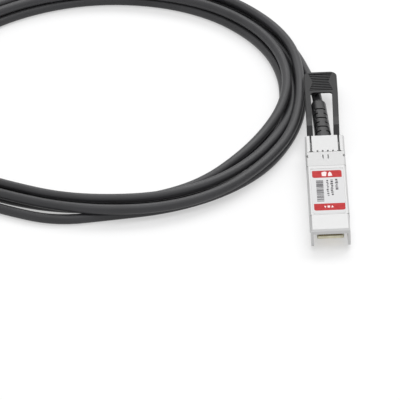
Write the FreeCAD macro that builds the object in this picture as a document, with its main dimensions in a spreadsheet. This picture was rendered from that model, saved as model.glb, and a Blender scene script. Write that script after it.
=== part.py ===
import FreeCAD, Part
import Sketcher
import math
import os

# Direct attach copper cable: a long twinaxial cord wound in a loose round coil, with the same
# pluggable module on both ends. Millimetres, +Z up, everything lying on the plane Z = 0.
# Both modules point their mouth to -Y. The origin is midway between the two modules, on the
# plane that they rest on. Each module piece is drawn in the module's own frame, whose origin is
# the middle of the mouth on the underside, and is then placed as a whole.

SIZES = {
    # the module's outer form
    "plug_spacing": 172.0,
    "shell_width": 13.7,
    "mouth_step": 0.15,
    "stop_y": 47.5,
    "nose_length": 10.1,
    "bridge_length": 9.3,
    "bridge_thickness": 1.8,
    "skirt_bottom": 1.1,
    "skirt_chamfer": 1.3,
    "floor_setback": 1.1,
    "floor_thickness": 1.0,
    "wall": 0.9,
    "edge_chamfer": 0.6,
    # the cover plate and the sticker on it
    "cover_thickness": 1.2,
    "seam": 0.1,
    "cover_notch": 0.5,
    "rail_height": 0.4,
    "rail_width": 0.65,
    "label_width": 11.3,
    "label_front_margin": 0.6,
    "label_back_margin": 1.8,
    "label_depth": 0.1,
    "label_thickness": 0.08,
    "label_corner": 1.2,
    # the spring collar
    "collar_length": 8.7,
    "collar_thickness": 0.15,
    "collar_gap": 0.05,
    "collar_bottom": 1.3,
    "collar_inset": 0.02,
    "collar_end_play": 0.12,
    "collar_bend": 0.5,
    "finger_pitch": 1.8,
    "finger_gap": 0.4,
    "finger_length": 2.7,
    "finger_end_gap": 1.8,
    "relief_length": 1.6,
    "notch_width": 0.6,
    "notch_length": 1.0,
    "notch_depth": 0.7,
    "slot_head_width": 1.4,
    "slot_head_length": 0.6,
    # the nose
    "slot_centre": 4.87,
    "cable_height": 4.25,
    "bore_dia": 4.8,
    # the latch boss and the slider under the nose
    "boss_setback": 2.5,
    "boss_length": 2.1,
    "boss_width": 2.6,
    "boss_room": 2.0,
    "slider_thickness": 0.5,
    "slider_play": 0.1,
    "slider_side_play": 0.23,
    "slider_front_play": 0.3,
    "boss_side_play": 0.4,
    "web_setback": 3.0,
    "slider_back_setback": 0.6,
    "arm_inset": 2.9,
    "arm_drop": 2.6,
    "arm_reach": 5.0,
    "arm_tip_bottom": 2.9,
    "arm_tip_height": 1.5,
    # the return spring in its channel
    "tongue_setback": 2.1,
    "spring_end_wall": 2.3,
    "spring_dia": 1.0,
    "spring_wire": 0.18,
    "spring_turns": 5.0,
    "spring_side_play": 0.15,
    # the card inside
    "card_width": 9.2,
    "card_thickness": 1.0,
    "card_bottom": 2.7,
    "card_front": 3.2,
    "card_length": 32.8,
    "rest_width": 1.2,
    "rest_setback": 3.6,
    "pad_pitch": 0.8,
    "pad_width": 0.5,
    "pad_length": 2.6,
    "pad_thickness": 0.05,
    # the cord and what holds it
    "cable_dia": 3.5,
    "cable_inside": 5.0,
    "ferrule_wall": 0.85,
    "ferrule_length": 2.9,
    "ferrule_room": 0.45,
    "sleeve_gap": 0.03,
    "pair_width": 1.7,
    "pair_height": 0.95,
    "pair_overlap": 3.0,
    # the strain relief
    "boot_neck_play": 0.15,
    "boot_neck_length": 1.6,
    "boot_gap": 0.2,
    "boot_length": 26.5,
    "boot_width": 5.8,
    "boot_height": 5.5,
    "boot_corner": 2.4,
    "boot_taper_deg": 0.6,
    "boot_round": 1.6,
    "boot_lean_deg": 2.7,
    "boot_twist_deg": 5.0,
    "rib_pitch": 5.7,
    "rib_first": 8.3,
    "rib_slot": 0.7,
    "rib_depth": 0.85,
    "rib_rise_deg": 30.0,
    # the pull tab
    "tab_drop": 0.5,
    "tab_thickness": 1.2,
    "tab_reach": 41.9,
    "leg_width": 2.1,
    "leg_setback": 0.6,
    "leg_rise": 11.8,
    "leg_wall": 0.5,
    "leg_nose_height": 2.6,
    "leg_lean": 0.5,
    "tab_edge_round": 0.45,
    "lip_length": 2.0,
    "lip_height": 0.7,
    "grip_length": 13.5,
    "tab_corner": 2.6,
    "window_corner": 1.2,
    "grip_waist": 5.6,
    "grip_flare": 8.4,
    "ridge_count": 10.0,
    "ridge_width": 0.6,
    "ridge_depth": 0.25,
    "grip_margin": 1.3,
    "panel_depth": 0.12,
    # the lead's straight start and the coil's outer form
    "lead_straight": 8.5,
    "coil_x": -81.0,
    "coil_y": 96.0,
    "wound_radius": 75.0,
    "coil_top_round": 2.8,
    "coil_foot_bevel": 1.0,
    "floor_gap": 0.03,
}

# Sizes that follow from the ones above.
FOLLOWING = {
    "shell_length": "stop_y + nose_length",
    "mouth_width": "shell_width - 2 * mouth_step",
    "mouth_ceiling": "shell_height - bridge_thickness",
    "cover_seat": "cable_height + ferrule_dia / 2 + ferrule_room",
    "shell_height": "cover_seat + cover_thickness",
    "floor_front": "bridge_length + floor_setback",
    "collar_front": "stop_y - collar_length",
    "collar_depth": "collar_thickness + collar_gap",
    "label_front": "bridge_length + label_front_margin",
    "label_length": "collar_front - label_back_margin - label_front",
    "finger_tip": "stop_y - finger_end_gap",
    "finger_root": "finger_tip - finger_length",
    "slot_width": "slider_thickness + 2 * slider_play",
    "boss_back": "stop_y - boss_setback",
    "boss_front": "boss_back - boss_length",
    "latch_front": "boss_front - boss_room",
    "latch_depth": "slider_thickness + slider_play + collar_gap",
    "latch_half": "slot_centre + slider_thickness / 2 + slider_side_play",
    "slider_notch": "boss_width + 2 * boss_side_play",
    "slider_front": "latch_front + slider_front_play",
    "slider_web": "boss_back + web_setback",
    "slider_back": "shell_length - slider_back_setback",
    "arm_front": "stop_y + arm_inset",
    "arm_top": "shell_height - arm_drop",
    "arm_end": "shell_length + arm_reach",
    "arm_tip_top": "arm_tip_bottom + arm_tip_height",
    "spring_front": "slider_web + tongue_setback",
    "spring_back": "shell_length - spring_end_wall",
    "spring_height": "latch_depth + spring_dia / 2",
    "channel_half": "spring_dia / 2 + spring_side_play",
    "channel_top": "spring_height + spring_dia / 2 + slider_play",
    "card_back": "card_front + card_length",
    "rest_front": "floor_front + rest_setback",
    "rest_back": "card_back - rest_setback / 2",
    "pair_front": "card_back - pair_overlap",
    "cable_front": "stop_y - cable_inside",
    "ferrule_dia": "cable_dia + 2 * ferrule_wall",
    "boot_neck_dia": "bore_dia - 2 * boot_neck_play",
    "tab_width": "2 * slot_centre + leg_width",
    "tab_top": "shell_height - tab_drop",
    "tab_end": "shell_length + tab_reach",
    "leg_front": "shell_length + leg_setback",
    "leg_flat": "leg_front + leg_rise",
    "leg_bottom": "arm_tip_bottom - leg_wall",
    "grip_front": "tab_end - grip_length",
    "coil_height": "2 * cable_dia",
}

doc = FreeCAD.newDocument("DirectAttachCable")
sheet = doc.addObject("Spreadsheet::Sheet", "sizes")
row = 0
for alias, content in list(SIZES.items()) + list(FOLLOWING.items()):
    row += 1
    sheet.set(f"A{row}", alias)
    sheet.set(f"B{row}", str(content) if alias in SIZES else "=" + content)
    sheet.setAlias(f"B{row}", alias)
doc.recompute()


class Size:
    """A length together with the spreadsheet formula that gives it."""

    def __init__(self, number, formula):
        self.number = number
        self.formula = formula

    def __add__(self, other):
        other = as_size(other)
        return Size(self.number + other.number, f"({self.formula} + {other.formula})")

    def __sub__(self, other):
        other = as_size(other)
        return Size(self.number - other.number, f"({self.formula} - {other.formula})")

    def __mul__(self, other):
        other = as_size(other)
        return Size(self.number * other.number, f"({self.formula} * {other.formula})")

    def __truediv__(self, other):
        other = as_size(other)
        return Size(self.number / other.number, f"({self.formula} / {other.formula})")

    def __neg__(self):
        return Size(-self.number, f"(0 - {self.formula})")


def as_size(value):
    return value if isinstance(value, Size) else Size(float(value), repr(float(value)))


def size(alias):
    return Size(float(sheet.get(alias)), f"sizes.{alias}")


ZERO = as_size(0)
SPARE = as_size(1)  # how far a cutting outline runs past the face it opens


def plane(body, role):
    for feature in body.Origin.OriginFeatures:
        if feature.Role == role:
            return feature
    raise ValueError(role)


def new_body(label):
    body = doc.addObject("PartDesign::Body", label)
    body.Label = label
    return body


def new_sketch(body, name, role, offset):
    """A sketch on one of the body's own planes, moved along that plane's normal."""
    sketch = body.newObject("Sketcher::SketchObject", name)
    sketch.AttachmentSupport = [(plane(body, role), "")]
    sketch.MapMode = "FlatFace"
    sketch.setExpression(".AttachmentOffset.Base.z", as_size(offset).formula)
    return sketch


def bind(sketch, kind, geometry, point, length):
    """Dimensions a point from the sketch's origin, or a radius, by a spreadsheet formula."""
    length = as_size(length)
    if kind == "Radius":
        index = sketch.addConstraint(Sketcher.Constraint(kind, geometry, length.number))
    else:
        index = sketch.addConstraint(
            Sketcher.Constraint(kind, -1, 1, geometry, point, length.number)
        )
    sketch.setExpression(f"Constraints[{index}]", length.formula)


def polygon(sketch, corners):
    """A closed outline of straight lines, each corner dimensioned in both directions."""
    corners = [(as_size(across), as_size(along)) for across, along in corners]
    first = sketch.GeometryCount
    count = len(corners)
    for index in range(count):
        start = corners[index]
        end = corners[(index + 1) % count]
        line = Part.LineSegment(
            FreeCAD.Vector(start[0].number, start[1].number, 0),
            FreeCAD.Vector(end[0].number, end[1].number, 0),
        )
        sketch.addGeometry(line, False)
    for index in range(count):
        following = first + (index + 1) % count
        sketch.addConstraint(
            Sketcher.Constraint("Coincident", first + index, 2, following, 1)
        )
    for index, (across, along) in enumerate(corners):
        bind(sketch, "DistanceX", first + index, 1, across)
        bind(sketch, "DistanceY", first + index, 1, along)


def rectangle(sketch, left, right, low, high):
    polygon(sketch, [(left, low), (right, low), (right, high), (left, high)])


def circle(sketch, across, along, radius):
    across, along, radius = as_size(across), as_size(along), as_size(radius)
    centre = FreeCAD.Vector(across.number, along.number, 0)
    index = sketch.addGeometry(
        Part.Circle(centre, FreeCAD.Vector(0, 0, 1), radius.number), False
    )
    bind(sketch, "Radius", index, 0, radius)
    bind(sketch, "DistanceX", index, 3, across)
    bind(sketch, "DistanceY", index, 3, along)


def pad(body, sketch, length, taper=None, back=False):
    feature = body.newObject("PartDesign::Pad", sketch.Name + "_pad")
    feature.Profile = sketch
    feature.setExpression("Length", as_size(length).formula)
    feature.Reversed = back
    if taper is not None:
        feature.setExpression("TaperAngle", as_size(taper).formula)
    doc.recompute()
    return feature


def pocket(body, sketch, length, back=False):
    """Cuts against the sketch's normal, or along it when back is set, and tests that it cut."""
    before = body.Tip.Shape.Volume
    feature = body.newObject("PartDesign::Pocket", sketch.Name + "_pocket")
    feature.Profile = sketch
    feature.setExpression("Length", as_size(length).formula)
    feature.Reversed = back
    doc.recompute()
    if feature.Shape.Volume >= before - 1e-9:
        raise ValueError(f"{feature.Name} in {body.Label} cuts nothing")
    return feature


def edge_names(shape, wanted):
    return [
        f"Edge{index}" for index, edge in enumerate(shape.Edges, start=1) if wanted(edge)
    ]


def round_edges(body, kind, wanted, length):
    """A fillet or a chamfer on the edges of the body's last feature that are wanted."""
    base = body.Tip
    names = edge_names(base.Shape, wanted)
    if not names:
        raise ValueError(f"no edge to dress in {body.Label}")
    feature = body.newObject("PartDesign::" + kind, f"{body.Label}_{kind.lower()}")
    feature.Base = (base, names)
    field = "Radius" if kind == "Fillet" else "Size"
    feature.setExpression(field, as_size(length).formula)
    doc.recompute()
    return feature


def same(one, other):
    return abs(one - other) < 1e-4


def lies(edge, axis, **places):
    """True for a straight edge along the axis whose middle has the given coordinates."""
    if len(edge.Vertexes) < 2 or edge.Curve.TypeId != "Part::GeomLine":
        return False
    step = edge.Vertexes[1].Point - edge.Vertexes[0].Point
    middle = edge.CenterOfMass
    along = abs(getattr(step, axis)) > 0.999 * step.Length
    return along and all(same(getattr(middle, key), value) for key, value in places.items())


def place(piece, side, height=ZERO, along=ZERO, turn=None):
    """Puts a piece drawn in a module's frame at the near (side 1) or far (side -1) module."""
    if turn is not None:
        piece.Placement = FreeCAD.Placement(FreeCAD.Vector(), turn)
    half_spacing = size("plug_spacing") / 2
    across = half_spacing if side > 0 else -half_spacing
    piece.setExpression(".Placement.Base.x", across.formula)
    piece.setExpression(".Placement.Base.y", (along - size("tab_end") / 2).formula)
    piece.setExpression(".Placement.Base.z", as_size(height).formula)


def plan_pad(body, name, bottom, top, outlines):
    """Rectangles seen from above, raised from one height to another."""
    sketch = new_sketch(body, name, "XY_Plane", bottom)
    for outline in outlines:
        rectangle(sketch, *outline)
    return pad(body, sketch, as_size(top) - as_size(bottom))


def plan_pocket(body, name, top, bottom, outlines):
    """Rectangles seen from above, cut from one height down to another."""
    sketch = new_sketch(body, name, "XY_Plane", top)
    for outline in outlines:
        rectangle(sketch, *outline)
    return pocket(body, sketch, as_size(top) - as_size(bottom))


def both_sides(inner, outer, low, high):
    """The same rectangle on the left and on the right of the module's middle plane."""
    return [(inner, outer, low, high), (-outer, -inner, low, high)]


def base_shell(label, side):
    """The cast body: skirts and bridge round the mouth, an open channel and a solid nose."""
    body = new_body(label)
    half = size("shell_width") / 2
    mouth_half = size("mouth_width") / 2
    wall = size("wall")
    top = size("shell_height")
    seat = size("cover_seat")
    skirt = size("skirt_bottom")
    bridge = size("bridge_length")
    stop = size("stop_y")
    length = size("shell_length")
    floor_top = size("floor_thickness")
    card_bottom = size("card_bottom")
    card_half = size("card_width") / 2
    front = size("floor_front")
    plan_pad(body, label + "_channel", skirt, seat, [(-half, half, bridge, length)])
    plan_pad(body, label + "_bridge", skirt, top, [(-mouth_half, mouth_half, ZERO, bridge)])
    plan_pad(body, label + "_nose", skirt, top, [(-half, half, stop, length)])
    plan_pad(body, label + "_floor", ZERO, skirt, [(-half, half, front, length)])
    round_edges(
        body, "Chamfer", lambda edge: lies(edge, "x", y=0, z=skirt.number), size("skirt_chamfer")
    )
    plan_pocket(
        body,
        label + "_mouth",
        size("mouth_ceiling"),
        -SPARE,
        [(wall - mouth_half, mouth_half - wall, -SPARE, bridge + SPARE / 10)],
    )
    plan_pocket(
        body,
        label + "_hollow",
        seat,
        floor_top,
        [(wall - half, half - wall, bridge, stop - wall)],
    )
    round_edges(
        body,
        "Chamfer",
        lambda edge: lies(edge, "y", z=top.number)
        or lies(edge, "y", z=0)
        or lies(edge, "x", y=0, z=top.number),
        size("edge_chamfer"),
    )
    plan_pad(
        body,
        label + "_rests",
        floor_top - SPARE / 10,
        card_bottom,
        both_sides(card_half - size("rest_width"), card_half, size("rest_front"), size("rest_back")),
    )
    plan_pocket(
        body,
        label + "_collar_seat",
        seat + SPARE,
        -SPARE,
        both_sides(half - size("collar_depth"), half + SPARE, size("collar_front"), stop),
    )
    slot_half = size("slot_width") / 2
    slot = size("slot_centre")
    plan_pocket(
        body,
        label + "_slots",
        top + SPARE,
        -SPARE,
        both_sides(slot - slot_half, slot + slot_half, stop, length + SPARE),
    )
    pitch = size("finger_pitch")
    notch_half = size("notch_width") / 2
    notches = new_sketch(body, label + "_notches", "XY_Plane", top + SPARE)
    for step in (-1.5, -0.5, 0.5, 1.5):
        centre = pitch * step
        rectangle(
            notches,
            centre - notch_half,
            centre + notch_half,
            stop - SPARE / 10,
            stop + size("notch_length"),
        )
    pocket(body, notches, SPARE + size("notch_depth"))
    head_half = size("slot_head_width") / 2
    plan_pocket(
        body,
        label + "_slot_heads",
        top + SPARE,
        top - size("notch_depth"),
        both_sides(
            slot - head_half, slot + head_half, stop - SPARE / 10, stop + size("slot_head_length")
        ),
    )
    bore = new_sketch(body, label + "_bore", "XZ_Plane", wall + SPARE - stop)
    circle(bore, ZERO, size("cable_height"), size("bore_dia") / 2)
    pocket(body, bore, length - stop + wall + SPARE + SPARE)
    latch = size("latch_depth")
    latch_half = size("latch_half")
    plan_pocket(
        body,
        label + "_latch_seat",
        latch,
        -SPARE,
        [(-latch_half, latch_half, size("latch_front"), length + SPARE)],
    )
    channel = size("channel_half")
    tongue = size("spring_front") - size("slider_thickness") - SPARE / 5
    plan_pocket(
        body,
        label + "_spring_channel",
        size("channel_top"),
        -SPARE,
        [(-channel, channel, tongue, size("spring_back"))],
    )
    boss = new_sketch(body, label + "_boss", "XY_Plane", size("floor_gap"))
    boss_half = size("boss_width") / 2
    polygon(
        boss,
        [
            (-boss_half / 3, size("boss_front")),
            (boss_half / 3, size("boss_front")),
            (boss_half, size("boss_back")),
            (-boss_half, size("boss_back")),
        ],
    )
    pad(body, boss, latch)
    place(body, side)
    return body


def top_cover(label, side):
    """The lid between the bridge and the nose, with a rail along each wall."""
    body = new_body(label)
    half = size("shell_width") / 2
    seat = size("cover_seat")
    top = size("shell_height")
    seam = size("seam")
    front = size("bridge_length") + seam
    back = size("stop_y") - seam
    inner = half - size("wall") - seam
    plan_pad(body, label + "_plate", seat, top, [(-half, half, front, back)])
    round_edges(
        body,
        "Chamfer",
        lambda edge: lies(edge, "y", z=top.number),
        size("edge_chamfer"),
    )
    plan_pad(
        body,
        label + "_rails",
        seat - size("rail_height"),
        seat + SPARE / 10,
        both_sides(inner - size("rail_width"), inner, front + SPARE, back - size("wall") - SPARE),
    )
    collar = size("collar_depth")
    plan_pocket(
        body,
        label + "_collar_top",
        top + SPARE,
        top - collar,
        [(-half - SPARE, half + SPARE, size("collar_front"), back + SPARE)],
    )
    plan_pocket(
        body,
        label + "_collar_sides",
        top + SPARE,
        seat - SPARE,
        both_sides(half - collar, half + SPARE, size("collar_front"), back + SPARE),
    )
    notch = size("cover_notch")
    plan_pocket(
        body,
        label + "_front_notch",
        top + SPARE,
        seat + notch,
        [(half - notch, half + SPARE, front - SPARE, front + notch)],
    )
    pitch = size("finger_pitch")
    gap = size("finger_gap") / 2
    relief = size("relief_length")
    middle = size("finger_root") + pitch
    plan_pocket(
        body,
        label + "_finger_reliefs",
        top + SPARE,
        top - collar - size("notch_depth"),
        both_sides(pitch / 2 - gap, pitch / 2 + gap, size("finger_root"), size("finger_tip")),
    )
    plan_pocket(
        body,
        label + "_corner_reliefs",
        top + SPARE,
        top - size("notch_depth"),
        both_sides(half - relief / 2, half + SPARE, middle - relief / 2, middle + relief / 2),
    )
    label_half = size("label_width") / 2 + seam
    plan_pocket(
        body,
        label + "_label_seat",
        top + SPARE,
        top - size("label_depth"),
        [
            (
                -label_half,
                label_half,
                size("label_front") - seam,
                size("label_front") + size("label_length") + seam,
            )
        ],
    )
    place(body, side)
    return body


def label_sticker(label, side):
    body = new_body(label)
    half = size("label_width") / 2
    front = size("label_front")
    bottom = size("shell_height") - size("label_depth")
    plan_pad(
        body,
        label + "_sheet",
        bottom,
        bottom + size("label_thickness"),
        [(-half, half, front, front + size("label_length"))],
    )
    round_edges(
        body,
        "Fillet",
        lambda edge: lies(edge, "z"),
        size("label_corner"),
    )
    place(body, side)
    return body


def emi_collar(label, side):
    """The folded spring sheet round the cover and the walls, slit into fingers at the nose."""
    body = new_body(label)
    half = size("shell_width") / 2 - size("collar_inset")
    thickness = size("collar_thickness")
    top = size("shell_height") - size("collar_inset")
    front = size("collar_front") + size("collar_end_play")
    back = size("stop_y") - size("collar_end_play")
    low = size("collar_bottom")
    plan_pad(body, label + "_top", top - thickness, top, [(-half, half, front, back)])
    plan_pad(
        body,
        label + "_sides",
        low,
        top - thickness / 2,
        both_sides(half - thickness, half, front, back),
    )
    bend = size("collar_bend")
    inner = (half - thickness).number
    under = (top - thickness).number
    round_edges(
        body,
        "Fillet",
        lambda edge: lies(edge, "y", z=under) and same(abs(edge.CenterOfMass.x), inner),
        bend - thickness,
    )
    round_edges(body, "Fillet", lambda edge: lies(edge, "y", z=top.number), bend)
    gap = size("finger_gap") / 2
    pitch = size("finger_pitch")
    root = size("finger_root")
    plan_pocket(
        body,
        label + "_gaps",
        top + SPARE,
        top - SPARE,
        both_sides(pitch / 2 - gap, pitch / 2 + gap, root, size("finger_tip")),
    )
    relief = size("relief_length")
    middle = root + pitch
    plan_pocket(
        body,
        label + "_reliefs",
        top + SPARE,
        top - relief / 2,
        both_sides(half - relief / 2, half + SPARE, middle - relief / 2, middle + relief / 2),
    )
    side_gaps = new_sketch(body, label + "_side_gaps", "YZ_Plane", half + SPARE)
    for step in (1, 2, 3):
        centre = low + (top - low) * step / 4
        rectangle(side_gaps, root, back + SPARE, centre - gap, centre + gap)
    pocket(body, side_gaps, half * 2 + SPARE + SPARE)
    place(body, side)
    return body


def paddle_card(label, side):
    """The card whose front edge carries the contacts, with its two front corners bevelled."""
    body = new_body(label)
    half = size("card_width") / 2
    bottom = size("card_bottom")
    plan_pad(
        body,
        label + "_blank",
        bottom,
        bottom + size("card_thickness"),
        [(-half, half, size("card_front"), size("card_back"))],
    )
    front = size("card_front").number
    round_edges(body, "Chamfer", lambda edge: lies(edge, "z", y=front), size("pad_pitch") / 2)
    place(body, side)
    return body


def block(width, depth, height, x_middle, y_low, z_low):
    return Part.makeBox(width, depth, height, FreeCAD.Vector(x_middle - width / 2, y_low, z_low))


def group(label, side, solids):
    """Loose solids of one kind in one node."""
    piece = doc.addObject("Part::Feature", label)
    piece.Label = label
    piece.Shape = Part.makeCompound(solids)
    place(piece, side)
    return piece


def contact_pads(label, side):
    """Ten gold pads above and ten below the card's front edge."""
    pitch = size("pad_pitch").number
    width = size("pad_width").number
    length = size("pad_length").number
    thickness = size("pad_thickness").number
    front = size("card_front").number + pitch / 2
    under = size("card_bottom").number - thickness
    over = size("card_bottom").number + size("card_thickness").number
    solids = []
    for step in range(10):
        across = (step - 4.5) * pitch
        for height in (under, over):
            solids.append(block(width, length, thickness, across, front, height))
    return group(label, side, solids)


def card_parts(label, side):
    """Eight small capacitors in two rows behind the memory chip."""
    pitch = size("pad_pitch").number
    width = size("pad_width").number
    over = size("card_bottom").number + size("card_thickness").number
    middle = (size("rest_front").number + size("rest_back").number) / 2
    solids = []
    for step in range(4):
        across = (step - 1.5) * 2 * pitch
        for row in (2, 5):
            solids.append(block(width, 2 * width, width, across, middle + row * pitch, over))
    return group(label, side, solids)


def memory_chip(label, side):
    """The chip that tells the host what is plugged in, with four legs on each side."""
    body = new_body(label)
    pitch = size("pad_pitch")
    over = size("card_bottom") + size("card_thickness")
    middle = (size("rest_front") + size("rest_back")) / 2 - pitch * 2
    lift = size("pad_thickness")
    plan_pad(
        body,
        label + "_package",
        over + lift,
        over + pitch,
        [(-pitch * 2, pitch * 2, middle - pitch * 2, middle + pitch * 2)],
    )
    legs = new_sketch(body, label + "_legs", "XY_Plane", over)
    for step in (-1.5, -0.5, 0.5, 1.5):
        centre = middle + pitch * step
        rectangle(legs, -pitch * 2.8, pitch * 2.8, centre - lift * 2, centre + lift * 2)
    pad(body, legs, pitch / 3)
    place(body, side)
    return body


def lying(lean, twist=0.0):
    """Turns a piece drawn upright so that its length runs along +Y, leaning a little aside and
    twisted about its own length."""
    turned = FreeCAD.Rotation(FreeCAD.Vector(0, 0, 1), twist)
    flat = FreeCAD.Rotation(FreeCAD.Vector(1, 0, 0), -90)
    aside = FreeCAD.Rotation(FreeCAD.Vector(0, 0, 1), lean)
    return aside.multiply(flat).multiply(turned)


def lean_of(side):
    """The near cord leans towards -X, the far one towards +X."""
    return side * size("boot_lean_deg").number


def strain_relief(label, side):
    """The moulded boot: a round neck in the nose, then a tapered rounded body with rib slots.
    Drawn upright, with height 0 where it leaves the nose."""
    body = new_body(label)
    neck = new_sketch(body, label + "_neck", "XY_Plane", -size("boot_neck_length"))
    circle(neck, ZERO, ZERO, size("boot_neck_dia") / 2)
    pad(body, neck, size("boot_neck_length") + SPARE)
    width = size("boot_width") / 2
    height = size("boot_height") / 2
    outline = new_sketch(body, label + "_body", "XY_Plane", size("boot_gap"))
    rectangle(outline, -width, width, -height, height)
    rounded(outline, width, height, size("boot_corner"))
    pad(body, outline, size("boot_length") - size("boot_gap"), taper=-size("boot_taper_deg"))
    end = size("boot_length").number
    round_edges(
        body,
        "Fillet",
        lambda edge: all(same(vertex.Z, end) for vertex in edge.Vertexes),
        size("boot_round"),
    )
    bore = new_sketch(body, label + "_hole", "XY_Plane", size("boot_length") + SPARE)
    circle(bore, ZERO, ZERO, size("cable_dia") / 2 + size("sleeve_gap"))
    pocket(body, bore, size("boot_length") + size("boot_neck_length") + SPARE + SPARE)
    rise = size("rib_rise_deg").number
    depth = size("rib_depth")
    rib_slots(body, label, "top", ZERO, height - depth, (90, 270))
    rib_slots(body, label, "flank", -size("rib_pitch") / 2, width - depth, (rise, 180 - rise))
    nose = size("shell_length")
    twist = side * size("boot_twist_deg").number
    place(body, side, size("cable_height"), nose, lying(lean_of(side), twist))
    return body


def rounded(sketch, width, height, radius):
    """Rounds the four corners of the rectangle drawn last in the sketch."""
    count = sketch.GeometryCount
    first = count - 4
    for index in range(4):
        corner = first + index
        sketch.fillet(corner, 1, radius.number, True, True)
    for index, item in enumerate(sketch.Geometry):
        if item.TypeId == "Part::GeomArcOfCircle":
            constraint = sketch.addConstraint(
                Sketcher.Constraint("Radius", index, radius.number)
            )
            sketch.setExpression(f"Constraints[{constraint}]", radius.formula)


def rib_slots(body, label, name, shift, floor, directions):
    """Three rows of slots that let the boot flex. Each slot is cut square to its direction, in
    degrees from the right flank towards the top, down to a flat floor."""
    outside = floor + size("rib_depth") + SPARE
    span = size("boot_width") / 2
    slot = size("rib_slot")
    for step in range(3):
        level = size("rib_first") + size("rib_pitch") * step + shift
        sketch = new_sketch(body, f"{label}_{name}_{step}", "XY_Plane", level + slot / 2)
        for degrees in directions:
            along = round(math.cos(math.radians(degrees)), 6)
            rising = round(math.sin(math.radians(degrees)), 6)
            corners = []
            for out, side in ((floor, -span), (outside, -span), (outside, span), (floor, span)):
                corners.append((out * along + side * rising, side * along - out * rising))
            polygon(sketch, corners)
        pocket(body, sketch, slot)


def round_piece(label, side, start, length, outer, inner):
    """A plain round piece round the cord's axis, solid where inner is None."""
    body = new_body(label)
    outline = new_sketch(body, label + "_section", "XY_Plane", start)
    circle(outline, ZERO, ZERO, outer)
    if inner is not None:
        circle(outline, ZERO, ZERO, inner)
    pad(body, outline, length)
    place(body, side, size("cable_height"), size("shell_length"), lying(lean_of(side)))
    return body


def cable_end(label, side):
    """The straight end of the cord inside the module and the boot."""
    start = size("cable_front") - size("shell_length")
    length = size("boot_length") - start
    return round_piece(label, side, start, length, size("cable_dia") / 2, None)


def crimp_ferrule(label, side):
    """The ring crimped on the cord, which bears on the inner face of the nose."""
    nose_face = size("stop_y") - size("wall") - size("shell_length")
    start = nose_face - size("ferrule_length") - size("seam") * 2
    inner = size("cable_dia") / 2 + size("sleeve_gap")
    return round_piece(label, side, start, size("ferrule_length"), size("ferrule_dia") / 2, inner)


def signal_pairs(label, side):
    """The two screened pairs between the cord's end and the card."""
    width = size("pair_width").number
    height = size("pair_height").number
    start = size("pair_front").number
    stop = size("cable_front").number - size("seam").number
    level = (
        size("card_bottom").number
        + size("card_thickness").number
        + size("pad_thickness").number
        + height / 2
    )
    solids = []
    for sign in (-1, 1):
        middle = sign * (width / 2 + size("pad_thickness").number)
        flat = width / 2 - height / 2
        left = FreeCAD.Vector(middle - flat, start, level)
        right = FreeCAD.Vector(middle + flat, start, level)
        up = FreeCAD.Vector(0, 0, height / 2)
        out = FreeCAD.Vector(height / 2, 0, 0)
        edges = [
            Part.LineSegment(left + up, right + up).toShape(),
            Part.Arc(right + up, right + out, right - up).toShape(),
            Part.LineSegment(right - up, left - up).toShape(),
            Part.Arc(left - up, left - out, left + up).toShape(),
        ]
        face = Part.Face(Part.Wire(edges))
        solids.append(face.extrude(FreeCAD.Vector(0, stop - start, 0)))
    return group(label, side, solids)


def latch_slider(label, side):
    """The folded sheet that frees the latch: a plate with two tines, a tongue and two arms."""
    body = new_body(label)
    gap = size("floor_gap") * 2
    thickness = size("slider_thickness")
    half = size("slot_centre") + thickness / 2
    notch = size("slider_notch") / 2
    front = size("slider_front")
    web = size("slider_web")
    back = size("slider_back")
    plate = new_sketch(body, label + "_plate", "XY_Plane", gap)
    polygon(
        plate,
        [
            (-half, front),
            (-notch, front),
            (-notch, web),
            (notch, web),
            (notch, front),
            (half, front),
            (half, back),
            (-half, back),
        ],
    )
    pad(body, plate, thickness)
    arms = new_sketch(body, label + "_arms", "YZ_Plane", half)
    arm_front = size("arm_front")
    arm_end = size("arm_end")
    polygon(
        arms,
        [
            (arm_front, gap),
            (back, gap),
            (back, size("arm_tip_bottom")),
            (arm_end, size("arm_tip_bottom")),
            (arm_end, size("arm_tip_top")),
            (back, size("arm_tip_top")),
            (back, size("arm_top")),
            (arm_front, size("arm_top")),
        ],
    )
    arm = pad(body, arms, thickness, back=True)
    mirror = body.newObject("PartDesign::Mirrored", label + "_mirror")
    mirror.Originals = [arm]
    mirror.MirrorPlane = (plane(body, "YZ_Plane"), [""])
    body.Tip = mirror
    doc.recompute()
    channel = size("channel_half") - size("seam")
    tongue = size("spring_front")
    plan_pad(
        body,
        label + "_tongue",
        gap,
        size("channel_top") - size("seam"),
        [(-channel, channel, tongue - thickness, tongue)],
    )
    ramp = front.number
    round_edges(
        body,
        "Chamfer",
        lambda edge: lies(edge, "x", y=ramp) and edge.CenterOfMass.z < gap.number + 1e-3,
        thickness * 0.7,
    )
    place(body, side)
    return body


WIRE_SIDES = 6


def return_spring(label, side):
    """The helical spring that pushes the slider's tongue back towards the mouth. Its fine wire
    has a six-sided section."""
    piece = doc.addObject("Part::Feature", label)
    piece.Label = label
    wire = size("spring_wire").number
    front = size("spring_front").number + wire / 2 + size("floor_gap").number
    back = size("spring_back").number - wire / 2 - size("floor_gap").number
    radius = (size("spring_dia").number - wire) / 2
    turns = size("spring_turns").number
    helix = Part.makeHelix((back - front) / turns, back - front, radius)
    start = FreeCAD.Vector(radius, 0, 0)
    corners = []
    for step in range(WIRE_SIDES + 1):
        angle = 2 * math.pi * step / WIRE_SIDES
        across = FreeCAD.Vector(math.cos(angle), 0, math.sin(angle))
        corners.append(start + across * wire / 2)
    section = Part.makePolygon(corners)
    coil = Part.Wire(helix.Edges).makePipeShell([section], True, True)
    turn = lying(0)
    coil.Placement = FreeCAD.Placement(
        FreeCAD.Vector(0, front, size("spring_height").number), turn
    )
    piece.Shape = Part.makeCompound([coil])
    place(piece, side)
    return piece


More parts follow.
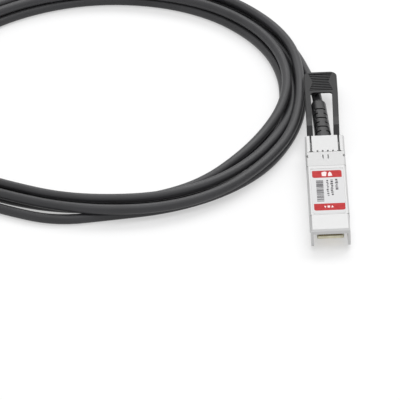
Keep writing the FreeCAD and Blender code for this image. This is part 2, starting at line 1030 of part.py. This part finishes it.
def pull_tab(label, side):
    """The moulded loop: two legs beside the boot, which rise from the slider's arms to the top
    and are joined by a ridged grip. The right leg stands a little inwards at its front."""
    body = new_body(label)
    half = size("tab_width") / 2
    top = size("tab_top")
    bottom = top - size("tab_thickness")
    foot = size("leg_bottom")
    end = size("tab_end")
    front = size("leg_front")
    rise = size("leg_rise")
    flat = size("leg_flat")
    leg = size("leg_width")
    grip = size("grip_front")
    lean = size("leg_lean")
    loop = new_sketch(body, label + "_loop", "XY_Plane", bottom)
    polygon(
        loop,
        [
            (-half, front),
            (leg - half, front),
            (leg - half, grip),
            (half - leg, grip),
            (half - leg - lean, front),
            (half - lean, front),
            (half, grip),
            (half, end),
            (-half, end),
        ],
    )
    pad(body, loop, size("tab_thickness"))
    round_edges(
        body,
        "Fillet",
        lambda edge: lies(edge, "z", y=end.number),
        size("tab_corner"),
    )
    inside = half.number - 1e-3
    round_edges(
        body,
        "Fillet",
        lambda edge: lies(edge, "z", y=grip.number) and abs(edge.CenterOfMass.x) < inside,
        size("window_corner"),
    )
    outside = (half - leg / 2 - lean / 2).number
    behind = (end - size("tab_corner")).number
    round_edges(
        body,
        "Fillet",
        lambda edge: same(edge.BoundBox.ZMin, top.number)
        and (abs(edge.CenterOfMass.x) > outside or edge.CenterOfMass.y > behind)
        and edge.CenterOfMass.y > front.number + 1e-3,
        size("tab_edge_round"),
    )
    lower = new_sketch(body, label + "_lower", "XY_Plane", foot)
    there = lean * (grip - flat) / (grip - front)
    polygon(lower, [(-half, front), (leg - half, front), (leg - half, flat), (-half, flat)])
    polygon(
        lower,
        [
            (half - leg - lean, front),
            (half - lean, front),
            (half - there, flat),
            (half - leg - there, flat),
        ],
    )
    pad(body, lower, bottom - foot + size("tab_thickness") / 4)
    low = foot + size("leg_nose_height")
    above = new_sketch(body, label + "_arch", "YZ_Plane", half + SPARE)
    polygon(
        above,
        [
            (front - SPARE, low),
            (front + rise * 0.2, low + (top - low) * 0.1),
            (front + rise * 0.4, low + (top - low) * 0.4),
            (front + rise * 0.65, top - (top - low) * 0.2),
            (flat, top),
            (flat, top + SPARE),
            (front - SPARE, top + SPARE),
        ],
    )
    pocket(body, above, half * 2 + SPARE + SPARE)
    below = new_sketch(body, label + "_underside", "YZ_Plane", half + SPARE)
    polygon(
        below,
        [
            (front + rise * 0.45, foot - SPARE),
            (flat + SPARE, foot - SPARE),
            (flat + SPARE, bottom),
            (flat, bottom),
            (front + rise * 0.45, foot),
        ],
    )
    pocket(body, below, half * 2 + SPARE + SPARE)
    lip = new_sketch(body, label + "_lip", "YZ_Plane", half - leg)
    polygon(
        lip,
        [
            (grip - SPARE, bottom - SPARE),
            (grip + size("lip_length"), bottom - SPARE),
            (grip + size("lip_length"), bottom),
            (grip, bottom + size("lip_height")),
            (grip - SPARE, bottom + size("lip_height")),
        ],
    )
    pocket(body, lip, (half - leg) * 2)
    gap = size("floor_gap")
    arm_half = size("slider_thickness") / 2 + gap
    centre = size("slot_centre")
    plan_pocket(
        body,
        label + "_sockets",
        size("arm_tip_top") + gap,
        size("arm_tip_bottom") - gap,
        both_sides(centre - arm_half, centre + arm_half, front - SPARE, size("arm_end") + gap),
    )
    grip_panel(body, label)
    place(body, side)
    return body


def grip_panel(body, label):
    """A shallow panel with a waist, sunk in the grip's top and crossed by grooves."""
    count = int(size("ridge_count").number)
    low = size("grip_front") + size("grip_margin")
    high = size("tab_end") - size("grip_margin")
    pitch = (high - low) / count
    groove = pitch - size("ridge_width")
    waist = size("grip_waist") / 2
    flare = size("grip_flare") / 2
    top = size("tab_top")
    panel = new_sketch(body, label + "_panel", "XY_Plane", top + SPARE)
    middle = (low + high) / 2
    polygon(
        panel,
        [
            (-flare, low),
            (flare, low),
            (waist, middle),
            (flare, high),
            (-flare, high),
            (-waist, middle),
        ],
    )
    pocket(body, panel, SPARE + size("panel_depth"))
    sketch = new_sketch(body, label + "_grooves", "XY_Plane", top + SPARE)
    for step in range(count):
        share = abs(2 * (step + 0.5) / count - 1)
        half = waist + (flare - waist) * share
        start = low + pitch * step + size("ridge_width") / 2
        rectangle(sketch, -half, half, start, start + groove)
    pocket(body, sketch, SPARE + size("panel_depth") + size("ridge_depth"))


# The wound turns' outer and inner edge by direction, as the distance beyond the wound radius.
# The directions are in degrees from +X, counted towards +Y.
OUTER_REACH = [
    (-20, 2.0),
    (-3, 0.2),
    (16, 2.1),
    (48, 3.8),
    (85, 4.1),
    (125, 3.2),
    (145, 1.4),
    (165, -0.2),
    (220, 0.0),
    (260, 0.5),
    (285, 2.4),
    (305, 3.9),
    (325, 2.7),
]
INNER_REACH = [
    (-20, -9.6),
    (25, -8.2),
    (60, -8.7),
    (115, -10.8),
    (180, -12.2),
    (245, -13.6),
    (265, -13.2),
    (285, -11.4),
    (310, -9.9),
]


def arc_towards(start, corner, stop):
    """The arc from start to stop whose end tangents meet at the corner."""
    chord = (start + stop) / 2
    rise = corner - chord
    half = (stop - start).Length / 2
    sag = half * math.tan(math.atan2(rise.Length, half) / 2)
    return Part.Arc(start, chord + rise.normalize() * sag, stop).toShape()


def arc_pair(start, leave, stop, enter):
    """Two arcs with one tangent where they meet, from start to stop with the given headings."""
    way = stop - start
    along = way.dot(leave + enter)
    spread = 2 * (1 - leave.dot(enter))
    arm = (math.sqrt(along**2 + spread * way.dot(way)) - along) / spread
    first = start + leave * arm
    last = stop - enter * arm
    middle = (first + last) / 2
    return [arc_towards(start, first, middle), arc_towards(middle, last, stop)]


def loop_wire(reaches):
    """A closed line of tangent arcs through the given reaches, round the coil's middle."""
    points = []
    for degrees, beyond in reaches:
        angle = math.radians(degrees)
        reach = size("wound_radius").number + beyond
        points.append(
            FreeCAD.Vector(
                size("coil_x").number + reach * math.cos(angle),
                size("coil_y").number + reach * math.sin(angle),
                0,
            )
        )
    following = points[1:] + points[:1]
    headings = []
    for before, point, after in zip(points[-1:] + points[:-1], points, following):
        back = point - before
        ahead = after - point
        headings.append((back / back.Length**2 + ahead / ahead.Length**2).normalize())
    edges = []
    for point, heading, after, turned in zip(
        points, headings, following, headings[1:] + headings[:1]
    ):
        edges += arc_pair(point, heading, after, turned)
    return Part.Wire(edges)


def coil_solid(label):
    """The wound cord as one ring, narrow beside the near module and wider towards the far one."""
    height = size("coil_height").number
    outer = Part.Face(loop_wire(OUTER_REACH))
    inner = Part.Face(loop_wire(INNER_REACH))
    ring = outer.cut(inner).extrude(FreeCAD.Vector(0, 0, height))
    ring = ring.Solids[0]
    upper = [edge for edge in ring.Edges if same(edge.BoundBox.ZMin, height)]
    ring = ring.makeFillet(size("coil_top_round").number, upper)
    lower = [edge for edge in ring.Edges if same(edge.BoundBox.ZMax, 0)]
    ring = ring.makeChamfer(size("coil_foot_bevel").number, lower)
    piece = doc.addObject("Part::Feature", label)
    piece.Label = label
    piece.Shape = ring
    place(piece, 1)
    return piece


def cord_tube(label, points, diameter):
    """A tube along straight runs joined by tangent arcs, as large as two runs allow."""
    corners = [FreeCAD.Vector(*point) for point in points]
    edges = []
    radii = []
    start = corners[0]
    for before, corner, after in zip(corners, corners[1:], corners[2:]):
        back = before - corner
        ahead = after - corner
        run = min(back.Length, ahead.Length)
        back.normalize()
        ahead.normalize()
        turn = math.pi - back.getAngle(ahead)
        radius = 0.45 * run / math.tan(turn / 2)
        arm = 0.45 * run
        enter = corner + back * arm
        leave = corner + ahead * arm
        inward = (back + ahead).normalize()
        centre = corner + inward * (radius / math.cos(turn / 2))
        middle = centre - inward * radius
        edges.append(Part.LineSegment(start, enter).toShape())
        edges.append(Part.Arc(enter, middle, leave).toShape())
        radii.append(round(radius, 1))
        start = leave
    edges.append(Part.LineSegment(start, corners[-1]).toShape())
    path = Part.Wire(edges)
    heading = (corners[1] - corners[0]).normalize()
    section = Part.Wire(Part.Circle(corners[0], heading, diameter / 2).toShape())
    tube = path.makePipeShell([section], True, False)
    expected = math.pi * diameter**2 / 4 * path.Length
    print(label, "length", round(path.Length, 1), "radii", radii)
    print(label, "volume over section times length", round(tube.Volume / expected, 4))
    piece = doc.addObject("Part::Feature", label)
    piece.Label = label
    piece.Shape = tube
    return piece


def boot_axis(side, reach):
    """A point on the boot's axis, a given way behind the nose, in the module's frame."""
    lean = math.radians(lean_of(side))
    return (
        -reach * math.sin(lean),
        size("shell_length").number + reach * math.cos(lean),
        size("cable_height").number,
    )


REST = SIZES["cable_dia"] / 2 + SIZES["floor_gap"]

# Each lead's way from its straight start into the coil, in its own module's frame.
NEAR_WAY = [
    (-4.7, 107.9, 2.1),
    (-7.7, 120.2, REST),
    (-12.4, 131.5, REST),
    (-21.8, 145.0, REST),
    (-32.4, 155.9, REST),
]
FAR_WAY = [
    (4.2, 107.8, 2.1),
    (10.0, 120.5, REST),
    (18.7, 132.5, REST),
    (30.2, 143.9, REST),
    (42.2, 154.3, REST + 0.6),
]


def lead(label, side, way):
    reach = size("boot_length").number
    start = [boot_axis(side, reach), boot_axis(side, reach + size("lead_straight").number)]
    tube = cord_tube(label, start + way, size("cable_dia").number)
    place(tube, side)
    return tube


PIECES = [
    ("base_shell", base_shell),
    ("top_cover", top_cover),
    ("label_sticker", label_sticker),
    ("emi_collar", emi_collar),
    ("paddle_card", paddle_card),
    ("contact_pads", contact_pads),
    ("memory_chip", memory_chip),
    ("card_capacitors", card_parts),
    ("signal_pairs", signal_pairs),
    ("cable_end", cable_end),
    ("crimp_ferrule", crimp_ferrule),
    ("strain_relief", strain_relief),
    ("latch_slider", latch_slider),
    ("return_spring", return_spring),
    ("pull_tab", pull_tab),
]

nodes = []
for end, side in (("near", 1), ("far", -1)):
    for name, build in PIECES:
        nodes.append(build(f"{end}_{name}", side))
nodes.append(coil_solid("cable_coil"))
nodes.append(lead("near_lead", 1, NEAR_WAY))
nodes.append(lead("far_lead", -1, FAR_WAY))
doc.recompute()

failed = [item.Name for item in doc.Objects if {"Invalid", "Error"} & set(item.State)]
if failed:
    raise ValueError(f"objects that did not rebuild: {failed}")
for node in nodes:
    if node.Shape.isNull() or not node.Shape.isValid():
        raise ValueError(f"{node.Label} has no valid shape")

os.makedirs("parts", exist_ok=True)
for node in nodes:
    node.Shape.exportStep(f"parts/{node.Label}.step")
    print(node.Label, len(node.Shape.Solids), "solids", round(node.Shape.Volume, 2), "mm3")
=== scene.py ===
import math
import random

import bmesh
import bpy
from mathutils import Matrix, Vector


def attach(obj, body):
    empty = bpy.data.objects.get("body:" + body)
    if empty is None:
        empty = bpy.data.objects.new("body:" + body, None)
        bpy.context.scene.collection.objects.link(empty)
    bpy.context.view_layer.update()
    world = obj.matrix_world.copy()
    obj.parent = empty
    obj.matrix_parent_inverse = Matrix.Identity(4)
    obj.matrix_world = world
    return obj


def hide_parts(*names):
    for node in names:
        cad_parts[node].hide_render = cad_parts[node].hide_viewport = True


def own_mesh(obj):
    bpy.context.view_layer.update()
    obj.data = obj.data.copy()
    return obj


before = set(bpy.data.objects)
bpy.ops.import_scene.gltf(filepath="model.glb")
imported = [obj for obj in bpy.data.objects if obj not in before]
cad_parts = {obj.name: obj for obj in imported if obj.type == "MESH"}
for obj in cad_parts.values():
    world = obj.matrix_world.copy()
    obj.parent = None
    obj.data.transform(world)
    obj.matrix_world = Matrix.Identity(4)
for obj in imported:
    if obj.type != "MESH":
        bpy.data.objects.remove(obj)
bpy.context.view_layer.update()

MM = 0.001
SIDES = {"near": 1, "far": -1}
PLUG_X = 86.0 * MM
MOUTH_Y = -49.75 * MM
CABLE_DIA = 3.5 * MM


def place(x, y, z, side=1):
    """A point of the near (side 1) or far (side -1) module's frame, given in millimetres."""
    return Vector((side * PLUG_X + x * MM, MOUTH_Y + y * MM, z * MM))


def show(name, data):
    piece = bpy.data.objects.new(name, data)
    bpy.context.scene.collection.objects.link(piece)
    return piece


# materials

GRAIN_DETAIL = 3.0
MOTTLE_SPAN = (0.35, 0.65)


def material(name, color, rough, metal=0.0, spec=0.5):
    mat = bpy.data.materials.new(name)
    mat.use_nodes = True
    shader = mat.node_tree.nodes["Principled BSDF"]
    shader.inputs["Base Color"].default_value = (*color, 1.0)
    shader.inputs["Roughness"].default_value = rough
    shader.inputs["Metallic"].default_value = metal
    shader.inputs["Specular IOR Level"].default_value = spec
    return mat


def grain(mat, scale, distance, strength=0.3, stretch=(1, 1, 1)):
    """A fine surface unevenness."""
    nodes = mat.node_tree.nodes
    links = mat.node_tree.links
    coords = nodes.new("ShaderNodeTexCoord")
    mapping = nodes.new("ShaderNodeMapping")
    mapping.inputs["Scale"].default_value = stretch
    noise = nodes.new("ShaderNodeTexNoise")
    noise.inputs["Scale"].default_value = scale
    noise.inputs["Detail"].default_value = GRAIN_DETAIL
    bump = nodes.new("ShaderNodeBump")
    bump.inputs["Strength"].default_value = strength
    bump.inputs["Distance"].default_value = distance
    links.new(coords.outputs["Object"], mapping.inputs["Vector"])
    links.new(mapping.outputs["Vector"], noise.inputs["Vector"])
    links.new(noise.outputs["Fac"], bump.inputs["Height"])
    links.new(bump.outputs["Normal"], nodes["Principled BSDF"].inputs["Normal"])
    return mat


def mottle(mat, low, high, scale):
    """Colour that wanders softly between two shades."""
    nodes = mat.node_tree.nodes
    links = mat.node_tree.links
    coords = nodes.new("ShaderNodeTexCoord")
    noise = nodes.new("ShaderNodeTexNoise")
    noise.inputs["Scale"].default_value = scale
    ramp = nodes.new("ShaderNodeValToRGB")
    for element, position, shade in zip(ramp.color_ramp.elements, MOTTLE_SPAN, (low, high)):
        element.position = position
        element.color = (*shade, 1.0)
    links.new(coords.outputs["Object"], noise.inputs["Vector"])
    links.new(noise.outputs["Fac"], ramp.inputs["Fac"])
    links.new(ramp.outputs["Color"], nodes["Principled BSDF"].inputs["Base Color"])
    return mat


def plate(name):
    mat = material(name, (0.53, 0.53, 0.53), rough=0.4, metal=0.3)
    return grain(mat, scale=900, distance=0.02 * MM)


zinc = plate("zinc_plate")
cover_zinc = plate("cover_plate")
sheet_metal = grain(
    material("spring_sheet_bright", (0.47, 0.47, 0.47), rough=0.38, metal=0.35),
    scale=500,
    distance=0.03 * MM,
    stretch=(1, 0.15, 1),
)
# The slider is coloured much darker than its plated metal. This is painted shade, so that the
# slots over it show dark.
slider_painted_shade = grain(
    material("slider_sheet_painted_shade", (0.16, 0.16, 0.16), rough=0.45, metal=0.9),
    scale=600,
    distance=0.03 * MM,
)
wire_metal = material("spring_wire_grey", (0.5, 0.5, 0.5), rough=0.3, metal=1.0)
sticker = material("sticker_white", (0.67, 0.67, 0.675), rough=0.6, spec=0.2)
red_ink = mottle(
    material("red_ink", (0.48, 0.04, 0.04), rough=0.6, spec=0.12),
    low=(0.44, 0.033, 0.037),
    high=(0.52, 0.047, 0.047),
    scale=700,
)
white_ink = material("white_ink", (0.85, 0.72, 0.72), rough=0.5)
dark_ink = mottle(
    material("dark_ink", (0.05, 0.05, 0.06), rough=0.6, spec=0.2),
    low=(0.03, 0.03, 0.035),
    high=(0.1, 0.09, 0.1),
    scale=900,
)
laminate = mottle(
    material("card_laminate", (0.8, 0.76, 0.57), rough=0.45),
    low=(0.76, 0.72, 0.53),
    high=(0.84, 0.8, 0.61),
    scale=600,
)
gold = material("gold_pads", (0.83, 0.6, 0.22), rough=0.28, metal=1.0)
chip_black = material("chip_moulding", (0.02, 0.02, 0.02), rough=0.5)
capacitor_tan = material("capacitor_body", (0.35, 0.25, 0.16), rough=0.5)
foil = material("pair_foil", (0.75, 0.75, 0.76), rough=0.3, metal=1.0)
ferrule_metal = material("ferrule_metal", (0.7, 0.7, 0.7), rough=0.3, metal=1.0)
jacket = mottle(
    material("cord_jacket", (0.028, 0.028, 0.03), rough=0.42, spec=0.4),
    low=(0.023, 0.023, 0.025),
    high=(0.032, 0.032, 0.035),
    scale=60,
)
grain(jacket, scale=1500, distance=0.04 * MM, strength=0.25)
boot_black = grain(
    material("boot_moulding", (0.01, 0.01, 0.011), rough=0.36, spec=0.48),
    scale=1800,
    distance=0.02 * MM,
)
tab_black = grain(
    material("tab_moulding", (0.008, 0.008, 0.009), rough=0.34, spec=0.23),
    scale=1500,
    distance=0.03 * MM,
)

FINISH = {
    "base_shell": zinc,
    "top_cover": cover_zinc,
    "label_sticker": sticker,
    "emi_collar": sheet_metal,
    "paddle_card": laminate,
    "contact_pads": gold,
    "memory_chip": chip_black,
    "card_capacitors": capacitor_tan,
    "signal_pairs": foil,
    "cable_end": jacket,
    "crimp_ferrule": ferrule_metal,
    "strain_relief": boot_black,
    "latch_slider": slider_painted_shade,
    "return_spring": wire_metal,
    "pull_tab": tab_black,
}
for end in SIDES:
    for name, mat in FINISH.items():
        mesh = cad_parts[f"{end}_{name}"].data
        mesh.materials.clear()
        mesh.materials.append(mat)


# printing on the stickers: plain bands, bars and marks, in millimetres of the module's frame

def bar(left, right, low, high):
    return [(left, low), (right, low), (right, high), (left, high)]


def band(left, right, low, high, radii):
    """A rectangle whose corners (low left, low right, high right, high left) may be round."""
    outline = []
    corners = [(left, low, 180), (right, low, 270), (right, high, 0), (left, high, 90)]
    for (x, y, start), radius in zip(corners, radii):
        if radius == 0:
            outline.append((x, y))
            continue
        across = x + radius if x == left else x - radius
        along = y + radius if y == low else y - radius
        for turned in range(0, 91, 15):
            angle = math.radians(start + turned)
            outline.append((across + radius * math.cos(angle), along + radius * math.sin(angle)))
    return outline


PRINT_HEIGHT = 8.486
OVERPRINT_HEIGHT = 8.490
RED_BANDS = [
    band(-5.1, 5.1, 31.5, 35.8, radii=(0.9, 0.3, 0.9, 0.3)),
    band(-5.1, 5.6, 11.7, 15.8, radii=(0.9, 0.9, 0, 0)),
]
WHITE_MARKS = [
    [(-1.75, 32.5), (-0.35, 32.3), (-0.05, 34.9), (-0.9, 35.2), (-1.85, 34.6)],
    [(0.35, 32.3), (1.85, 32.5), (1.55, 34.2), (0.95, 35.1), (0.45, 34.0)],
    [(-1.7, 14.4), (-1.25, 13.1), (-0.9, 14.2)],
    bar(-0.5, 0.35, 13.3, 14.5),
    [(0.75, 13.2), (1.6, 13.4), (1.1, 14.7)],
]
# left, right, low and high of the block of bars and of the three columns of marks
BLOCK = (-3.9, -1.45, 17.1, 30.1)
COLUMNS = [(-0.4, 0.4, 20.4, 30.2), (1.0, 1.9, 20.7, 30.1), (2.6, 3.6, 23.9, 30.6)]
LEAST_ROOM = 0.3
BAR_WIDTHS, BAR_GAPS = (0.18, 0.3, 0.5), (0.14, 0.22, 0.36)
MARK_LENGTHS, MARK_GAPS = (0.5, 0.7, 0.9), (0.3, 0.4, 0.55)
LEFT_INSETS, RIGHT_INSETS = (0.0, 0.1, 0.25), (0.0, 0.15)


def dark_marks():
    outlines = []
    left, right, along, high = BLOCK
    while along < high - LEAST_ROOM:
        width = random.choice(BAR_WIDTHS)
        outlines.append(bar(left, right, along, min(along + width, high)))
        along += width + random.choice(BAR_GAPS)
    for left, right, along, high in COLUMNS:
        while along < high - LEAST_ROOM:
            length = min(random.choice(MARK_LENGTHS), high - along)
            first = left + random.choice(LEFT_INSETS)
            last = right - random.choice(RIGHT_INSETS)
            outlines.append(bar(first, last, along, along + length))
            along += length + random.choice(MARK_GAPS)
    return outlines


def flat_mesh(name, outlines, height, mat, side):
    """Thin flat shapes at one height, each outline a ring of points."""
    mesh = bpy.data.meshes.new(name)
    built = bmesh.new()
    for outline in outlines:
        corners = [built.verts.new(place(x, y, height, side)) for x, y in outline]
        built.faces.new(corners)
    built.to_mesh(mesh)
    built.free()
    mesh.materials.append(mat)
    return show(name, mesh)


for end, side in SIDES.items():
    random.seed(11)
    printed = [
        flat_mesh(f"{end}_red_bands", RED_BANDS, PRINT_HEIGHT, red_ink, side),
        flat_mesh(f"{end}_white_marks", WHITE_MARKS, OVERPRINT_HEIGHT, white_ink, side),
        flat_mesh(f"{end}_dark_marks", dark_marks(), PRINT_HEIGHT, dark_ink, side),
    ]
    for piece in printed:
        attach(piece, "cable")


# the cord, from the near boot round the coil to the far boot

NOSE_END = 57.6
AXIS_HEIGHT = 4.25
BOOT_LENGTH = 26.5
BOOT_LEAN = math.radians(2.7)
STRAIGHT_END = 35.0


def boot_axis(side, reach):
    """A point of the boot's leaning axis, that far past the nose."""
    lean = BOOT_LEAN * side
    return (-reach * math.sin(lean), NOSE_END + reach * math.cos(lean), AXIS_HEIGHT)


# heights of the cord's middle in the coil's lower and upper layer
L, U = 1.78, 5.22
NEAR_WAY = [
    boot_axis(1, BOOT_LENGTH),
    boot_axis(1, STRAIGHT_END),
    (-4.7, 107.9, 2.1),
    (-7.7, 120.2, L),
    (-12.4, 131.5, L),
    (-21.8, 145.0, L),
    (-32.4, 155.9, L),
]
FAR_WAY = [
    boot_axis(-1, BOOT_LENGTH),
    boot_axis(-1, STRAIGHT_END),
    (4.2, 107.8, 2.1),
    (10.0, 120.5, L),
    (18.7, 132.5, L),
    (30.2, 143.9, L),
    (42.2, 154.3, 2.38),
]
COIL_X, COIL_Y = -81.0, 96.0
# The coil's points lie in these directions from its middle, in degrees: those that the camera
# sees in front and those behind, which are further apart.
SEEN, SEEN_STEP = [-115, -100, -85, -70, -55, -40, -25, -10, 5, 20, 35], 15
BEHIND, BEHIND_STEP = [52, 70, 90, 110, 130, 150, 170, 190, 210, 230], 20
DIRECTIONS = SEEN + BEHIND
# Each turn's distance from the coil's middle and its height, in these directions. The near lead
# joins the coil behind, and the last turn ends there in the far lead.
FIRST_BEHIND = [76.9, 75.6, 73.9, 72.9, 72.5, 72.4, 72.5, 72.6, 72.7]
TURNS = [
    (
        [72.8, 75.0, 72.0, 73.8, 75.5, 76.2, 75.1, 74.4, 74.1, 74.1, 74.2]
        + [74.3, 74.0, 72.3, 70.4, 69.5, 68.9, 68.5, 68.1, 67.6, 67.2],
        [L] * len(DIRECTIONS),
    ),
    (
        [66.9, 67.3, 67.6, 69.4, 70.2, 68.9, 68.4, 67.9, 67.9, 68.4, 68.6]
        + [68.5, 68.2, 67.6, 66.6, 65.8, 65.2, 64.8, 64.4, 64.0, 63.6],
        [L] * len(DIRECTIONS),
    ),
    (
        [63.3, 63.6, 64.0, 65.8, 66.7, 67.1, 67.0, 68.1, 69.4, 70.1, 70.1]
        + [69.2, 67.8, 67.6, 67.6, 67.2, 66.6, 65.9, 65.2, 64.6, 64.0],
        [L, L, L, L, 2.3, 4.8] + [U] * 15,
    ),
    (
        [63.4, 65.4, 67.5, 70.9, 72.8, 72.5, 71.8, 71.2, 71.0, 71.2, 71.3]
        + [71.8, 71.4, 71.9, 72.0, 71.6, 71.0, 70.5, 70.1, 69.7, 69.4],
        [U, U, U, U, U, U, U, 2.7, L, L, L, 3.0, 4.8] + [U] * 8,
    ),
    (
        [68.9, 71.0, 74.1, 77.1, 78.2, 76.9, 75.8, 73.8, 73.7, 75.7, 76.2]
        + [76.4, 76.5, 76.5, 76.6],
        [U, U, U, 4.8, 4.7, U, U, U, U, U, U, U, U, U, 4.2],
    ),
]


def on_ring(direction, reach, height):
    """The control point that takes the cord past this distance and height. It lies further out,
    because the curve cuts the corners between its points."""
    gap = math.radians(SEEN_STEP if direction in SEEN else BEHIND_STEP)
    spread = 1 / (0.75 + 0.25 * math.cos(gap))
    angle = math.radians(direction)
    return place(
        COIL_X + reach * spread * math.cos(angle),
        COIL_Y + reach * spread * math.sin(angle),
        height,
    )


route = [place(*point) for point in NEAR_WAY]
for direction, reach in zip(BEHIND[1:], FIRST_BEHIND):
    route.append(on_ring(direction, reach, L))
for reaches, heights in TURNS:
    for direction, reach, height in zip(DIRECTIONS, reaches, heights):
        route.append(on_ring(direction, reach, height))
for point in reversed(FAR_WAY):
    route.append(place(*point, side=-1))

curve = bpy.data.curves.new("cord", "CURVE")
curve.dimensions = "3D"
spline = curve.splines.new("NURBS")
spline.points.add(len(route) - 1)
for control, point in zip(spline.points, route):
    control.co = (*point, 1.0)
spline.order_u = 3
spline.use_endpoint_u = True
spline.resolution_u = 6
curve.bevel_depth = CABLE_DIA / 2
curve.bevel_resolution = 7
curve.use_fill_caps = True
curve.materials.append(jacket)
cord = show("cord", curve)
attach(cord, "cable")
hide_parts("cable_coil", "near_lead", "far_lead")


# the return springs, each drawn as a copy of its part's mesh

for end in SIDES:
    node = f"{end}_return_spring"
    wire = show(f"{end}_spring_wire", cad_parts[node].data.copy())
    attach(wire, "cable")
    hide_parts(node)
    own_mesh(wire)


# the studio

FLOOR_REACH = 4.0
FLOOR_DROP = 0.05 * MM
FLOOR_LIFT = 0.48
ROOM_LIGHT = 0.62
LIT_POINT = (0.02, 0, 0)


def background_rays(tree):
    """1 for rays that show the background: from the camera, by a gloss or through glass."""
    paths = tree.nodes.new("ShaderNodeLightPath")
    seen = tree.nodes.new("ShaderNodeMath")
    seen.operation = "MAXIMUM"
    passed = tree.nodes.new("ShaderNodeMath")
    passed.operation = "MAXIMUM"
    tree.links.new(paths.outputs["Is Camera Ray"], seen.inputs[0])
    tree.links.new(paths.outputs["Is Glossy Ray"], seen.inputs[1])
    tree.links.new(seen.outputs["Value"], passed.inputs[0])
    tree.links.new(paths.outputs["Is Transmission Ray"], passed.inputs[1])
    return passed.outputs["Value"]


def lay_floor():
    """A pale floor that keeps the shadows and shows as nearly white."""
    mesh = bpy.data.meshes.new("floor")
    corners = [(x * FLOOR_REACH, y * FLOOR_REACH, 0) for x, y in bar(-1, 1, -1, 1)]
    mesh.from_pydata(corners, [], [(0, 1, 2, 3)])
    floor = show("floor", mesh)
    floor.location.z = -FLOOR_DROP
    paint = material("floor_white", (0.93, 0.93, 0.935), rough=0.9, spec=0.1)
    mesh.materials.append(paint)
    nodes = paint.node_tree.nodes
    links = paint.node_tree.links
    share = nodes.new("ShaderNodeMath")
    share.operation = "MULTIPLY"
    share.inputs[1].default_value = FLOOR_LIFT
    white = nodes.new("ShaderNodeEmission")
    blend = nodes.new("ShaderNodeMixShader")
    links.new(background_rays(paint.node_tree), share.inputs[0])
    links.new(share.outputs["Value"], blend.inputs["Fac"])
    links.new(nodes["Principled BSDF"].outputs["BSDF"], blend.inputs[1])
    links.new(white.outputs["Emission"], blend.inputs[2])
    links.new(blend.outputs["Shader"], nodes["Material Output"].inputs["Surface"])


def softbox(name, position, width, height, power):
    light = bpy.data.lights.new(name, "AREA")
    light.shape = "RECTANGLE"
    light.size = width
    light.size_y = height
    light.energy = power
    lamp = show(name, light)
    lamp.location = position
    aim = Vector(LIT_POINT) - Vector(position)
    lamp.rotation_euler = aim.to_track_quat("-Z", "Y").to_euler()


def light_room():
    """An even light from all sides, while the background shows white."""
    world = bpy.data.worlds.new("studio")
    bpy.context.scene.world = world
    world.use_nodes = True
    nodes = world.node_tree.nodes
    links = world.node_tree.links
    background = nodes["Background"]
    background.inputs["Color"].default_value = (1.0, 1.0, 1.0, 1.0)
    mix = nodes.new("ShaderNodeMix")
    mix.data_type = "FLOAT"
    mix.inputs["A"].default_value = ROOM_LIGHT
    mix.inputs["B"].default_value = 1.0
    links.new(background_rays(world.node_tree), mix.inputs["Factor"])
    links.new(mix.outputs["Result"], background.inputs["Strength"])


lay_floor()
softbox("key", (0.5, 1.0, 1.4), width=1.6, height=0.8, power=14)
softbox("fill", (0.1, -0.3, 1.7), width=1.4, height=1.4, power=8)
light_room()


# the camera

AZIMUTH, ELEVATION, ROLL = math.radians(-0.77), math.radians(34.6), math.radians(-2.8)
DISTANCE = 1.5
TARGET = place(-44.2, 33.3, 0)
PIXELS_PER_MM = 2.885
IMAGE_WIDTH = 400
SENSOR_WIDTH = 36.0

ahead = Vector(
    (
        math.sin(AZIMUTH) * math.cos(ELEVATION),
        math.cos(AZIMUTH) * math.cos(ELEVATION),
        -math.sin(ELEVATION),
    )
)
level = Vector((math.cos(AZIMUTH), -math.sin(AZIMUTH), 0))
above = level.cross(ahead)
across = level * math.cos(ROLL) + above * math.sin(ROLL)
upright = above * math.cos(ROLL) - level * math.sin(ROLL)
camera_data = bpy.data.cameras.new("camera")
camera_data.sensor_width = SENSOR_WIDTH
camera_data.lens = PIXELS_PER_MM * DISTANCE / MM * SENSOR_WIDTH / IMAGE_WIDTH
camera_data.clip_end = 20.0
camera = show("camera", camera_data)
turned = Matrix((across, upright, -ahead)).transposed().to_4x4()
camera.matrix_world = Matrix.Translation(TARGET - ahead * DISTANCE) @ turned
bpy.context.scene.camera = camera
bpy.context.scene.view_settings.view_transform = "Standard"
